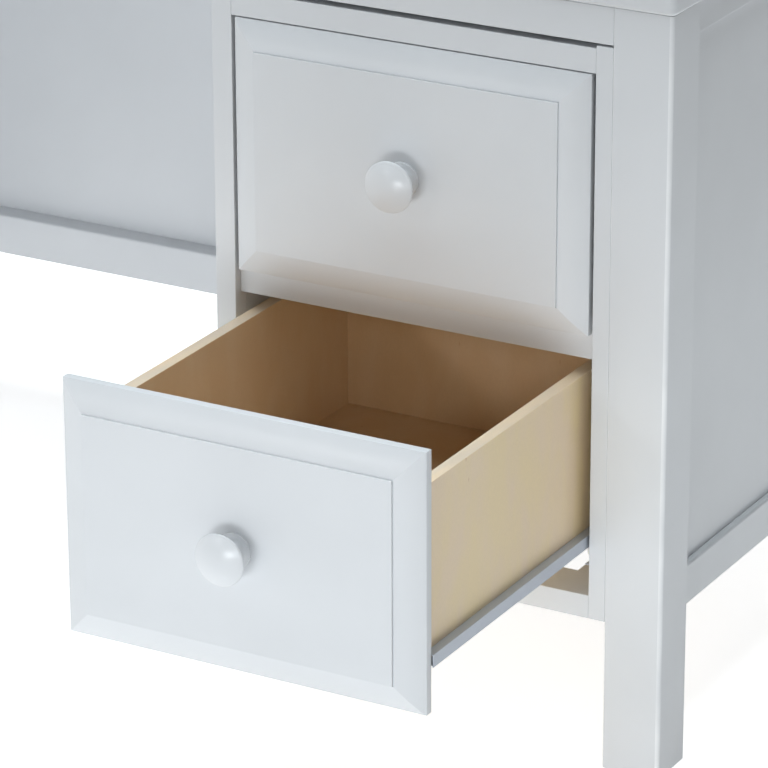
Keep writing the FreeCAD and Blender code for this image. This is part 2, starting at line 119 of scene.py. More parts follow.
class DeskFrontSettings(bpy.types.PropertyGroup):
    edge: length_property("Edge thickness", "Thickness of a drawer front at its edge", 8.7)
    border: length_property("Border", "Width of the moulded border", 26.6)
    bow: length_property("Border bow", "Rise of the border's arc above its chord", 1.2)
    step: length_property("Step", "Height of the field above the border", 2.0)
    arris: length_property("Field arris", "Rounding of the field's edge", 0.35)
    quirk: length_property("Quirk", "Width and depth of the groove at the foot of the step", 0.45)
    corner: length_property("Corner", "Rounding of the front's outer corners", 0.5)


class DeskKnobSettings(bpy.types.PropertyGroup):
    dome: length_property("Dome", "Rise of the knob's domed face", 7.0)
    rim: length_property("Rim", "Thickness of the knob's rim", 1.6)
    shoulder: length_property("Shoulder", "Rounding between the rim and the dome", 2.6)
    rim_height: length_property("Rim height", "Seat to the knob's rim", 26.0)
    neck: length_property("Neck radius", "Radius of the knob's waist", 9.0)
    neck_height: length_property("Neck height", "Seat to the knob's waist", 10.5)
    foot: length_property("Foot radius", "Radius of the knob's foot", 16.5)
    foot_height: length_property("Foot height", "Height of the foot's edge", 2.5)
    cove: length_property("Cove", "Hollow under the knob's head", 4.0)
    waist: length_property("Waist hollow", "Hollow between the foot and the neck", 1.8)


class DeskStageSettings(bpy.types.PropertyGroup):
    distance: length_property("Camera distance", "Camera to the point it looks at", 4097.5)
    azimuth: angle_property("Azimuth", "Camera to the right of the desk's front", 29.394)
    elevation: angle_property("Elevation", "Camera above the level", 21.534)
    roll: angle_property("Roll", "Turn of the camera about its line of sight", -0.219)
    lens: bpy.props.FloatProperty(name="Lens", description="Focal length, for a 36 mm wide frame",
                                  min=10.0, default=208.8)
    aim_left: length_property("Aim", "Point looked at, left of the pedestal's middle", 27.4)
    aim_height: length_property("Aim height", "Point looked at, above the floor", 341.2)
    floor: colour_property("Floor", "Pale studio floor", "FAFAFA")


# --- meshes --------------------------------------------------------------------

def smooth_by_angle(mesh, degrees):
    """Shades a mesh smooth, except over edges that turn by more than the angle."""
    mesh.polygons.foreach_set("use_smooth", np.ones(len(mesh.polygons), bool))
    mesh.set_sharp_from_angle(angle=math.radians(degrees))


def closed_grid(name, points, degrees=25.0, ring=False):
    """Closed mesh of a grid of points[row, column].

    The columns run round and meet. The rows meet too in a ring; else the
    first and last row are closed by a flat face each. The sign of the
    enclosed volume, the sum of the faces' corner triple products, says
    whether the faces are to be turned round.
    """
    rows, columns = points.shape[:2]
    index = np.arange(rows * columns).reshape(rows, columns)
    if ring:
        index = np.concatenate([index, index[:1]])
    after = np.roll(index, -1, axis=1)
    quads = np.stack([index[:-1], after[:-1], after[1:], index[1:]], axis=-1).reshape(-1, 4)
    corners = points.reshape(-1, 3)
    a, b, c, d = (corners[quads[:, k]] - corners.mean(0) for k in range(4))
    volume = (a * np.cross(b, c)).sum() + (a * np.cross(c, d)).sum()
    first, last = index[0][::-1], index[-1]
    if volume < 0:
        quads, first, last = quads[:, ::-1], first[::-1], last[::-1]
    ends = [] if ring else [first.tolist(), last.tolist()]
    mesh = bpy.data.meshes.new(name)
    mesh.from_pydata(corners.tolist(), [], quads.tolist() + ends)
    smooth_by_angle(mesh, degrees)
    return mesh


def add_piece(name, mesh, node, materials):
    """Puts a finished mesh in the scene for the CAD node that it stands for."""
    piece = bpy.data.objects.new(name, mesh)
    bpy.context.scene.collection.objects.link(piece)
    mesh.materials.clear()
    for material in materials:
        mesh.materials.append(material)
    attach(piece, NODE_BODY[node])
    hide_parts(node)
    return piece


def joined(name, meshes):
    """One mesh of several."""
    built = bmesh.new()
    for mesh in meshes:
        built.from_mesh(mesh)
        bpy.data.meshes.remove(mesh)
    whole = bpy.data.meshes.new(name)
    built.to_mesh(whole)
    built.free()
    return whole


def arc(start, end, sag, steps):
    """Points of a circular arc from start to end that bows to the left by sag.

    The chord's half length h and the sag s give the radius (h^2 + s^2) / 2s;
    the points go evenly round the centre, which lies on the chord's middle
    line.
    """
    start, end = np.array(start, float), np.array(end, float)
    half = np.linalg.norm(end - start) / 2
    radius = (half ** 2 + sag ** 2) / (2 * sag)
    along = (end - start) / (2 * half)
    left = np.array([-along[1], along[0]])
    sweep = math.asin(min(1.0, half / radius))
    if sag > half:
        sweep = math.pi - sweep
    turn = np.linspace(-sweep, sweep, steps)[:, None]
    centre = (start + end) / 2 + left * (sag - radius)
    return centre + radius * (np.sin(turn) * along + np.cos(turn) * left)


def quarter(corner, start, end, steps=5):
    """Points of a rounded corner, a quarter ellipse from start to end.

    corner is where the two straight runs would meet; the point at angle t is
    corner + (1 - sin t) (start - corner) + (1 - cos t) (end - corner).
    """
    corner, start, end = (np.array(p, float) for p in (corner, start, end))
    t = np.linspace(0, math.pi / 2, steps)[:, None]
    return corner + (1 - np.sin(t)) * (start - corner) + (1 - np.cos(t)) * (end - corner)


def carried_round(name, low, high, axis, profile, corner_radius, corner_steps=6, degrees=25.0):
    """Profile carried round a rectangle, as a closed mesh.

    Each profile row is an inset from the rectangle's edge and a place along
    the axis. Column t of the outline lies at the centre of the nearest
    corner's rounding plus (radius - inset) times the unit vector at angle t.
    Where the inset is larger than the radius, the corner's centre moves
    inwards by the difference, so that the corner stays mitred.
    """
    across = [k for k in range(3) if k != axis]
    low, high = np.array(low, float), np.array(high, float)
    middle, half = (low + high) / 2, (high - low) / 2
    inset, height = np.array(profile, float).T
    angle = np.linspace(0, math.pi / 2, corner_steps)
    turns = np.concatenate([angle + k * math.pi / 2 for k in range(4)])
    sign_u = np.repeat([1, -1, -1, 1], corner_steps)
    sign_v = np.repeat([1, 1, -1, -1], corner_steps)
    radius = np.clip(corner_radius - inset, 0, None)[:, None]
    pulled_in = np.clip(inset, corner_radius, None)[:, None]
    points = np.zeros((len(inset), len(turns), 3))
    points[..., across[0]] = (middle[across[0]] + sign_u * (half[across[0]] - pulled_in)
                              + radius * np.cos(turns))
    points[..., across[1]] = (middle[across[1]] + sign_v * (half[across[1]] - pulled_in)
                              + radius * np.sin(turns))
    points[..., axis] = height[:, None]
    mesh = closed_grid(name, points, degrees)
    if corner_radius <= inset.max():  # the columns of a mitred corner fall together
        welded = bmesh.new()
        welded.from_mesh(mesh)
        bmesh.ops.remove_doubles(welded, verts=welded.verts, dist=WELD)
        welded.to_mesh(mesh)
        welded.free()
        smooth_by_angle(mesh, degrees)
    return mesh


def turned(name, profile, centre, direction, segments=96, degrees=30.0, ring=False):
    """Lathe surface of a profile of radius r and height h.

    Its point at angle t is centre + h axis + r (u cos t + v sin t).
    """
    axis = Vector(direction).normalized()
    u = axis.orthogonal().normalized()
    v = axis.cross(u)
    radius, height = np.array(profile, float).T
    t = np.linspace(0, 2 * math.pi, segments, endpoint=False)
    circle = np.cos(t)[:, None] * np.array(u) + np.sin(t)[:, None] * np.array(v)
    lengthwise = height[:, None, None] * np.array(axis)
    points = np.array(centre) + lengthwise + radius[:, None, None] * circle
    return closed_grid(name, points, degrees, ring)


def loose_parts(node):
    """Corners of each separate solid of a node.

    Corners at one place count as one. Each starts with a label of its own,
    every face gives its corners their lowest label, and this goes on until
    no label changes.
    """
    mesh = NODES[node].data
    points = np.zeros(len(mesh.vertices) * 3)
    mesh.vertices.foreach_get("co", points)
    points = points.reshape(-1, 3)
    _, same = np.unique(np.round(points / WELD).astype(np.int64), axis=0, return_inverse=True)
    same = same.reshape(-1)
    corners = np.zeros(len(mesh.loops), np.int32)
    mesh.loops.foreach_get("vertex_index", corners)
    faces = same[corners].reshape(-1, 3)
    label = np.arange(same.max() + 1)
    settled = False
    while not settled:
        spread = label.copy()
        np.minimum.at(spread, faces, label[faces].min(axis=1)[:, None])
        settled = bool((spread == label).all())
        label = spread
    return [points[label[same] == k] for k in np.unique(label)]


def merged_copy(node, shortest=8.0 * MM):
    """Copy of a node's solid with its triangles merged and each flat stretch made one face.

    Its square, convex edges longer than shortest are marked for a bevel.
    """
    mesh = NODES[node].data.copy()
    for attribute in ("custom_normal", "sharp_edge", "sharp_face"):
        if attribute in mesh.attributes:
            mesh.attributes.remove(mesh.attributes[attribute])
    built = bmesh.new()
    built.from_mesh(mesh)
    bmesh.ops.remove_doubles(built, verts=built.verts, dist=WELD)
    bmesh.ops.dissolve_limit(built, angle_limit=math.radians(0.5), verts=built.verts,
                             edges=built.edges)
    weight = built.edges.layers.float.new("bevel_weight_edge")
    sharp = math.radians(60)
    for edge in built.edges:
        square = edge.is_manifold and edge.is_convex and edge.calc_face_angle() > sharp
        edge[weight] = 1.0 if square and edge.calc_length() > shortest else 0.0
    built.to_mesh(mesh)
    built.free()
    smooth_by_angle(mesh, 30.0)
    return mesh


def face_normals(mesh):
    """The normal of each face, one per row."""
    normals = np.zeros(len(mesh.polygons) * 3, np.float32)
    mesh.polygons.foreach_get("normal", normals)
    return normals.reshape(-1, 3)


def set_finish(mesh, index):
    """Gives each face the material of its index."""
    mesh.polygons.foreach_set("material_index", np.asarray(index).astype(np.int32))


def add_ease(piece, ease):
    """Rounds the marked edges of a merged copy."""
    modifier = piece.modifiers.new("Eased edges", "BEVEL")
    modifier.limit_method = "WEIGHT"
    modifier.width = ease
    modifier.segments = 3
    modifier.use_clamp_overlap = False
    modifier.harden_normals = True


# --- materials -----------------------------------------------------------------

def add_node(tree, kind, settings=None, inputs=None):
    """Adds a node with its settings; an input is a constant or another node's output."""
    node = tree.nodes.new(kind)
    for key, value in (settings or {}).items():
        setattr(node, key, value)
    for socket, value in (inputs or {}).items():
        if isinstance(value, bpy.types.NodeSocket):
            tree.links.new(value, node.inputs[socket])
        else:
            node.inputs[socket].default_value = value
    return node


def new_material(name, constants, colour):
    """Material with one Principled BSDF; gives the material, its tree and the shader."""
    material = bpy.data.materials.new(name)
    material.use_nodes = True
    material.diffuse_color = colour
    tree = material.node_tree
    shader = tree.nodes["Principled BSDF"]
    shader.inputs["Base Color"].default_value = colour
    for socket, value in constants.items():
        shader.inputs[socket].default_value = value
    return material, tree, shader


def object_place(tree, scale=(1.0, 1.0, 1.0)):
    """Object coordinates in metres, stretched."""
    where = add_node(tree, "ShaderNodeTexCoord")
    return add_node(tree, "ShaderNodeMapping", None,
                    {"Vector": where.outputs["Object"], "Scale": scale}).outputs["Vector"]


def sprayed_lacquer(name, thick, thin, peel=1.0, shine=0.0):
    """Catalysed lacquer sprayed on sanded board.

    Light skips over a faint orange peel, and the film is a shade greyer where
    it lies thin, in patches a hand wide. peel scales the depth of the peel;
    shine is how much a finish is smoothed by rubbing or turning.
    """
    smoothed = 0.3 * shine
    constants = {"IOR": 1.5, "Coat Weight": 0.15 + shine, "Coat Roughness": 0.2 - smoothed}
    material, tree, shader = new_material(name, constants, thick)
    place = object_place(tree)
    patch_size = 140 * MM
    film = add_node(tree, "ShaderNodeTexNoise", None,
                    {"Vector": place, "Scale": 1 / patch_size, "Detail": 3.0, "Roughness": 0.55})
    spread = add_node(tree, "ShaderNodeMapRange", None,
                      {"Value": film.outputs["Fac"], "From Min": 0.35, "From Max": 0.65})
    tone = add_node(tree, "ShaderNodeMix", {"data_type": "RGBA"},
                    {"Factor": spread.outputs["Result"], "A": thick, "B": thin})
    gloss = add_node(tree, "ShaderNodeMapRange", None,
                     {"Value": film.outputs["Fac"], "To Min": 0.36 - smoothed,
                      "To Max": 0.46 - smoothed})
    # The droplets of sprayed lacquer are 1 to 2 mm; they are drawn 2.4 mm wide so that they show.
    droplet = 2.4 * MM
    peel_noise = add_node(tree, "ShaderNodeTexNoise", None,
                          {"Vector": place, "Scale": 1 / droplet, "Detail": 1.0, "Roughness": 0.4})
    bump = add_node(tree, "ShaderNodeBump", None,
                    {"Height": peel_noise.outputs["Fac"], "Distance": 0.012 * MM * peel,
                     "Strength": 1.0})
    tree.links.new(tone.outputs["Result"], shader.inputs["Base Color"])
    tree.links.new(gloss.outputs["Result"], shader.inputs["Roughness"])
    tree.links.new(bump.outputs["Normal"], shader.inputs["Normal"])
    return material


def birch_veneer(name, main, pale, fleck, stretch, roughness):
    """Rotary-cut birch veneer, sealed with clear lacquer.

    Its figure is broad soft patches with ragged sides, with fine pores along
    the grain and small brown flecks. stretch is how much longer the figure
    is than wide, along X, Y and Z.
    """
    constants = {"IOR": 1.5, "Coat Weight": 0.25, "Coat Roughness": 0.22}
    material, tree, shader = new_material(name, constants, main)
    long_way = tuple(1.0 / s for s in stretch)
    place = object_place(tree, long_way)
    figure_width = 45 * MM
    figure = add_node(tree, "ShaderNodeTexNoise", None,
                      {"Vector": place, "Scale": 1 / figure_width, "Detail": 3.0, "Roughness": 0.55,
                       "Distortion": 0.4})
    patches = add_node(tree, "ShaderNodeMapRange", {"interpolation_type": "SMOOTHSTEP"},
                       {"Value": figure.outputs["Fac"], "From Min": 0.34, "From Max": 0.68})
    tone = add_node(tree, "ShaderNodeMix", {"data_type": "RGBA"},
                    {"Factor": patches.outputs["Result"], "A": main, "B": pale})
    # Birch pores are about 0.1 mm across; they are drawn 0.9 mm wide so that they show.
    pore = 0.9 * MM
    pores = add_node(tree, "ShaderNodeTexNoise", None,
                     {"Vector": place, "Scale": 1 / pore, "Detail": 2.0, "Roughness": 0.6})
    pore_depth = add_node(tree, "ShaderNodeMapRange", None,
                          {"Value": pores.outputs["Fac"], "From Min": 0.3, "From Max": 0.7,
                           "To Min": 0.975, "To Max": 1.02})
    grained = add_node(tree, "ShaderNodeVectorMath", {"operation": "SCALE"},
                       {0: tone.outputs["Result"], "Scale": pore_depth.outputs["Result"]})
    fleck_spacing = 26 * MM
    cells = add_node(tree, "ShaderNodeTexVoronoi", {"feature": "F1"},
                     {"Vector": place, "Scale": 1 / fleck_spacing, "Randomness": 1.0})
    near = add_node(tree, "ShaderNodeMapRange", {"interpolation_type": "SMOOTHSTEP"},
                    {"Value": cells.outputs["Distance"], "From Min": 0.055, "From Max": 0.02,
                     "To Min": 0.0, "To Max": 0.5})
    flecked = add_node(tree, "ShaderNodeMix", {"data_type": "RGBA"},
                       {"Factor": near.outputs["Result"], "A": grained.outputs["Vector"],
                        "B": fleck})
    sheen = add_node(tree, "ShaderNodeMapRange", None,
                     {"Value": pores.outputs["Fac"], "To Min": roughness - 0.06,
                      "To Max": roughness + 0.08})
    bump = add_node(tree, "ShaderNodeBump", None,
                    {"Height": pores.outputs["Fac"], "Distance": 0.02 * MM, "Strength": 0.8})
    tree.links.new(flecked.outputs["Result"], shader.inputs["Base Color"])
    tree.links.new(sheen.outputs["Result"], shader.inputs["Roughness"])
    tree.links.new(bump.outputs["Normal"], shader.inputs["Normal"])
    return material


def zinc_plate(name, colour, roughness, rolled, metallic):
    """Zinc-plated steel: a dull mirror with faint lines along the way that it was rolled.

    A passivated plate with a sealing coat scatters more light than bare
    zinc, so its metallic value is lower.
    """
    material, tree, shader = new_material(name, {"Metallic": metallic}, colour)
    # Rolling lines are under 0.1 mm wide; they are drawn 0.8 mm wide so that they show.
    line = 0.8 * MM
    place = object_place(tree, tuple(1.0 / s for s in rolled))
    lines = add_node(tree, "ShaderNodeTexNoise", None,
                     {"Vector": place, "Scale": 1 / line, "Detail": 3.0, "Roughness": 0.6})
    tone = add_node(tree, "ShaderNodeMapRange", None,
                    {"Value": lines.outputs["Fac"], "To Min": 0.9, "To Max": 1.06})
    tinted = add_node(tree, "ShaderNodeVectorMath", {"operation": "SCALE"},
                      {0: colour[:3], "Scale": tone.outputs["Result"]})
    rough = add_node(tree, "ShaderNodeMapRange", None,
                     {"Value": lines.outputs["Fac"], "To Min": roughness - 0.08,
                      "To Max": roughness + 0.1})
    bump = add_node(tree, "ShaderNodeBump", None,
                    {"Height": lines.outputs["Fac"], "Distance": 0.01 * MM, "Strength": 0.6})
    tree.links.new(tinted.outputs["Vector"], shader.inputs["Base Color"])
    tree.links.new(rough.outputs["Result"], shader.inputs["Roughness"])
    tree.links.new(bump.outputs["Normal"], shader.inputs["Normal"])
    return material


def moulded_nylon(name, colour):
    """Injection-moulded nylon: waxy, a little see-through, with a fine spark-eroded grain."""
    constants = {"IOR": 1.53, "Subsurface Weight": 0.15, "Subsurface Scale": 2 * MM}
    material, tree, shader = new_material(name, constants, colour)
    # A spark-eroded grain is about 0.05 mm wide; it is drawn 0.6 mm wide so that it shows.
    grain = 0.6 * MM
    sand = add_node(tree, "ShaderNodeTexNoise", None,
                    {"Vector": object_place(tree), "Scale": 1 / grain, "Detail": 2.0})
    rough = add_node(tree, "ShaderNodeMapRange", None,
                     {"Value": sand.outputs["Fac"], "To Min": 0.38, "To Max": 0.55})
    bump = add_node(tree, "ShaderNodeBump", None,
                    {"Height": sand.outputs["Fac"], "Distance": 0.01 * MM, "Strength": 0.7})
    tree.links.new(rough.outputs["Result"], shader.inputs["Roughness"])
    tree.links.new(bump.outputs["Normal"], shader.inputs["Normal"])
    return material


def material(name):
    """A finished material by name, made the first time that it is asked for."""
    if name in bpy.data.materials:
        return bpy.data.materials[name]
    s = bpy.context.scene.desk_finish
    edge_tones = s.ply_edge, s.veneer_pale, s.veneer_dark
    maker, *values = {
        "sprayed_lacquer": (sprayed_lacquer, s.paint, s.paint_thin),
        # On the legs' rounded arrises the lacquer is glossier, and its lighter tone there is a
        # painted highlight.
        "rubbed_lacquer": (sprayed_lacquer, s.arris_highlight, s.paint, 0.4, 0.2),
        # The knobs are lacquered while they turn, which leaves less peel and more gloss.
        "turned_lacquer": (sprayed_lacquer, s.paint, s.paint_thin, 0.6, 0.12),
        "birch_veneer": (birch_veneer, s.veneer, s.veneer_pale, s.veneer_dark, (1, 1, 2.6), 0.4),
        # The sanded edges of the boards, whose grain runs along Y or along X.
        "birch_edge": (birch_veneer, *edge_tones, (1, 3, 1), 0.5),
        "birch_edge_across": (birch_veneer, *edge_tones, (3, 1, 1), 0.5),
        # Inside the drawers the veneer is darker and warmer: painted shade for the little light
        # that reaches in.
        "oiled_veneer": (birch_veneer, s.inside, s.inside_pale, s.veneer_dark, (1, 1, 3), 0.45),
        "satin_zinc": (zinc_plate, s.zinc, 0.42, (1, 30, 1), 0.5),
        "zinc_screw": (zinc_plate, s.screw_zinc, 0.34, (1, 1, 1), 1.0),
        "moulded_nylon": (moulded_nylon, s.nylon),
    }[name]
    return maker(name, *values)


# --- pieces --------------------------------------------------------------------

def nodes_of(slot):
    """Nodes with a material slot, by name."""
    return sorted(node for node, own in NODE_SLOT.items() if own == slot)


class DESK_OT_boards(bpy.types.Operator):
    """Paints the desk's and the pedestal's boards, with eased edges, and the legs, with a painted
    highlight on their rounded arrises
    """
    bl_idname = "desk.boards"
    bl_label = "Painted Boards"

    def execute(self, context):
        special = ["desktop"] + [f"{d}_{part}" for d in DRAWERS for part in ("front", "knob")]
        ease = context.scene.desk_shape.board_ease
        lacquer = material("sprayed_lacquer")
        highlight_share = 0.12  # least share of X and of Y in the normal of a leg's rounded arris
        for node in sorted(set(nodes_of("white_paint")) - set(special)):
            mesh = merged_copy(node)
            if node.startswith("leg_"):
                add_piece(node + "_painted", mesh, node, [lacquer, material("rubbed_lacquer")])
                across = abs(face_normals(mesh)[:, :2])
                # Faces of the rounded arrises get the lighter lacquer, a painted highlight.
                set_finish(mesh, across.min(axis=1) > highlight_share)
            else:
                add_ease(add_piece(node + "_painted", mesh, node, [lacquer]), ease)
        return {"FINISHED"}


class DESK_OT_top(bpy.types.Operator):
    """Makes the desktop, with rounded edges and corners"""
    bl_idname = "desk.top"
    bl_label = "Desktop"

    def execute(self, context):
        shape = context.scene.desk_shape
        low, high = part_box("desktop")
        under, upper = shape.top_under, shape.top_upper
        rows = [quarter((0, low.z), (under, low.z), (0, low.z + under), 8),
                quarter((0, high.z), (0, high.z - upper), (upper, high.z), 10)]
        mesh = carried_round("desktop_painted", low, high, 2, np.concatenate(rows),
                             shape.top_corner, 10)
        add_piece("desktop_painted", mesh, "desktop", [material("sprayed_lacquer")])
        return {"FINISHED"}


def front_rows(settings, low, high):
    """Insets and places along -Y of a drawer front's profile, from its back to its field.

    The border is a low arc from the outer edge up to a quirk, a narrow groove
    with a slanted outer side at the foot of the field's step.
    """
    back, crest = -high.y, -low.y
    edge = back + settings.edge
    foot, flat = settings.border, crest - settings.step
    quirk = settings.quirk
    border = arc((0, edge), (foot - quirk, flat), settings.bow, 24)
    ease = settings.corner
    rows = [quarter((0, back), (ease, back), (0, back + ease), 4),
            quarter(border[0], (0, edge - ease), border[1], 4),
            border[2:],
            [(foot - 0.4 * quirk, flat - quirk), (foot, flat - quirk)],
            quarter((foot, crest), (foot, crest - settings.arris),
                    (foot + settings.arris, crest), 7)]
    return np.concatenate(rows)


class DESK_OT_fronts(bpy.types.Operator):
    """Makes the two drawer fronts, with a mitred, moulded border round a raised field"""
    bl_idname = "desk.fronts"
    bl_label = "Drawer Fronts"

    def execute(self, context):
        settings = context.scene.desk_front
        for drawer in DRAWERS:
            node = drawer + "_front"
            low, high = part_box(node)
            rows = front_rows(settings, low, high) * (1, -1)
            mesh = carried_round(node + "_painted", low, high, 1, rows, settings.corner, 5, 20.0)
            add_piece(node + "_painted", mesh, node, [material("sprayed_lacquer")])
        return {"FINISHED"}


def knob_rows(s, radius):
    """Radii and heights of a knob: foot, hollow waist, cove under the head, rim and dome.

    The dome is a cap of a sphere, so over radius r it lies at
    top + (R^2 - r^2)^0.5, with R from its rise and the knob's own radius.
    """
    soft = 0.6 * MM
    middle_flat = 0.4 * MM  # radius of the small flat that closes the dome
    brim = s.rim_height - s.rim
    dome_radius = (radius ** 2 + s.dome ** 2) / (2 * s.dome)
    reach = np.linspace(radius - s.shoulder, middle_flat, 26)
    top = s.rim_height + s.dome - dome_radius
    dome = np.stack([reach, top + np.sqrt(dome_radius ** 2 - reach ** 2)], axis=-1)
    shoulder = (radius - 0.1 * MM, s.rim_height + soft)
    rows = [[[s.foot, 0.0]],
            quarter((s.foot, s.foot_height), (s.foot, s.foot_height - soft),
                    (s.foot - soft, s.foot_height), 4),
            arc((s.foot - soft, s.foot_height), (s.neck, s.neck_height), s.waist, 14)[1:],
            arc((s.neck, s.neck_height), (radius - soft, brim), s.cove, 22)[1:],
            quarter((radius, brim), (radius - soft, brim), (radius, brim + soft), 5)[1:],
            quarter(shoulder, (radius, s.rim_height - soft), dome[0], 9),
            dome[1:]]
    return np.concatenate(rows)


class DESK_OT_knobs(bpy.types.Operator):
    """Makes the two turned knobs"""
    bl_idname = "desk.knobs"
    bl_label = "Knobs"

    def execute(self, context):
        settings = context.scene.desk_knob
        for drawer in DRAWERS:
            node = drawer + "_knob"
            low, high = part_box(node)
            rows = knob_rows(settings, (high.x - low.x) / 2)
            centre = ((low.x + high.x) / 2, high.y, (low.z + high.z) / 2)
            mesh = turned(node + "_painted", rows, centre, (0, -1, 0))
            add_piece(node + "_painted", mesh, node, [material("turned_lacquer")])
        return {"FINISHED"}


class DESK_OT_boxes(bpy.types.Operator):
    """Makes the drawers' plywood boards: pale veneer outside, a darker tone inside that is painted
    shade, sanded edges
    """
    bl_idname = "desk.boxes"
    bl_label = "Drawer Boxes"

    def execute(self, context):
        inward = {"left": (1, 0, 0), "right": (-1, 0, 0), "front": (0, 1, 0), "back": (0, -1, 0),
                  "bottom": (0, 0, 1)}
        outside, inside, edge = range(3)
        flat = 0.9  # least cosine between a face and the side that it belongs to
        ease = context.scene.desk_shape.ply_ease
        for drawer in DRAWERS:
            for board, way in inward.items():
                node = f"{drawer}_box_{board}"
                sanded = "birch_edge" if board in ("left", "right") else "birch_edge_across"
                finishes = [material(m) for m in ("birch_veneer", "oiled_veneer", sanded)]
                mesh = merged_copy(node)
                piece = add_piece(node + "_veneered", mesh, node, finishes)
                facing = face_normals(mesh) @ np.array(way, np.float32)
                sides = [facing > flat, facing < -flat]
                # Faces towards the drawer's inside get the darker veneer, which is painted shade.
                set_finish(mesh, np.select(sides, [inside, outside], edge))
                add_ease(piece, ease)
        return {"FINISHED"}


class DESK_OT_slides(bpy.types.Operator):
    """Makes the drawers' and the cabinet's slide members of zinc-plated steel"""
    bl_idname = "desk.slides"
    bl_label = "Slides"

    def execute(self, context):
        ease = context.scene.desk_shape.steel_ease
        for node in nodes_of("slide_steel"):
            mesh = merged_copy(node, 4.0 * MM)
            add_ease(add_piece(node + "_plated", mesh, node, [material("satin_zinc")]), ease)
        return {"FINISHED"}


def roller_rows(radius, bore, width):
    """Closed profile of a roller: bore, hub, sunk web and rounded rim, one side then the other."""
    rounding, web_depth, soft = 0.9 * MM, 1.0 * MM, 0.3 * MM
    hub_wall, rim_wall = 1.3 * MM, 1.7 * MM
    hub, rim, half = bore + hub_wall, radius - rim_wall, width / 2
    web = half - web_depth
    side = np.concatenate([[[bore, half - soft], [bore + soft, half], [hub, half],
                            [hub + soft, web], [rim - soft, web], [rim, half]],
                           quarter((radius, half), (radius - rounding, half),
                                   (radius, half - rounding), 5)])
    return np.concatenate([side, side[::-1] * (1, -1)])


class DESK_OT_rollers(bpy.types.Operator):
    """Makes the slides' nylon rollers, with rounded rims and a sunk web"""
    bl_idname = "desk.rollers"
    bl_label = "Rollers"

    def execute(self, context):
        for node in nodes_of("roller_nylon"):
            name = node + "_moulded"
            wheels = []
            for solid in loose_parts(node):
                low, high = solid.min(axis=0), solid.max(axis=0)
                middle = (low + high) / 2
                bore = np.hypot(solid[:, 1] - middle[1], solid[:, 2] - middle[2]).min()
                rows = roller_rows((high[1] - low[1]) / 2, bore, high[0] - low[0])
                wheels.append(turned(node, rows, middle, (1, 0, 0), 64, ring=True))
            add_piece(name, joined(name, wheels), node, [material("moulded_nylon")])
        return {"FINISHED"}


def screw_surface(name, solid):
    """Pan-head screw with a cross recess, in the place of a plain one.

    The plain screw's long side gives the axis, and its wider end the head.
    The head's top is a low dome: over radius r it lies at
    (1 - 0.35 (r / R)^2) of the head's height. The cross is sunk into it where
    the smaller of |x| and |y| is within a blade's half width and the larger
    within its reach, with sloping walls.
    """
    low, high = solid.min(axis=0), solid.max(axis=0)
    k = int(np.argmax(high - low))
    across = [i for i in range(3) if i != k]
    middle = (low + high) / 2
    reach = np.linalg.norm((solid - middle)[:, across], axis=1)
    head_radius = reach.max()
    in_head = solid[reach > 0.8 * head_radius, k]
    up = 1.0 if in_head.mean() > middle[k] else -1.0
    seat = (in_head * up).min() * up
    head_height = abs((high[k] if up > 0 else low[k]) - seat)
    length = high[k] - low[k] - head_height
    shank_radius = reach[(solid[:, k] - seat) * up < -0.5 * MM].max()
    soft, point, middle_flat = 0.25 * MM, 0.15 * MM, 0.1 * MM
    taper = 2.2 * shank_radius
    shank = np.array([[point, -length], [shank_radius, taper - length], [shank_radius, 0.0],
                      [head_radius - soft, 0.0], [head_radius, soft],
                      [head_radius, 0.6 * head_height]])
    crown = np.linspace(head_radius - soft, middle_flat, 20)
    domed = head_height * (1 - 0.35 * (crown / head_radius) ** 2)
    rows = np.concatenate([shank, np.stack([crown, domed], -1)])
    angle = np.linspace(0, 2 * math.pi, 48, endpoint=False)
    radius, height = (np.repeat(column[:, None], len(angle), axis=1) for column in rows.T)
    x, y = radius * np.cos(angle), radius * np.sin(angle)
    blade_half, blade_slope = 0.75 * MM, 0.3 * MM
    recess_reach, end_slope, recess_depth = 0.58 * head_radius, 0.5 * MM, 0.6 * head_height
    blade = np.clip((blade_half - np.minimum(abs(x), abs(y))) / blade_slope, 0, 1)
    run = np.clip((recess_reach - np.maximum(abs(x), abs(y))) / end_slope, 0, 1)
    height[len(shank):] -= (recess_depth * blade * run)[len(shank):]
    points = np.zeros((*x.shape, 3))
    points[..., across[0]] = middle[across[0]] + x
    points[..., across[1]] = middle[across[1]] + y
    points[..., k] = seat + up * height
    return closed_grid(name, points, 35.0)


class DESK_OT_fittings(bpy.types.Operator):
    """Makes the zinc-plated screws and gives the glides their nylon"""
    bl_idname = "desk.fittings"
    bl_label = "Screws and Glides"

    def execute(self, context):
        for node in nodes_of("screw_steel"):
            name = node + "_plated"
            screws = [screw_surface(node, solid) for solid in loose_parts(node)]
            add_piece(name, joined(name, screws), node, [material("zinc_screw")])
        for node in nodes_of("glide_nylon"):
            NODES[node].material_slots[0].material = material("moulded_nylon")
        return {"FINISHED"}


# --- stage ---------------------------------------------------------------------

def direction_to(azimuth, elevation):
    """Unit vector towards a place: azimuth 0 is in front of the desk and grows to its right."""
    return Vector((math.sin(azimuth) * math.cos(elevation),
                   -math.cos(azimuth) * math.cos(elevation), math.sin(elevation)))


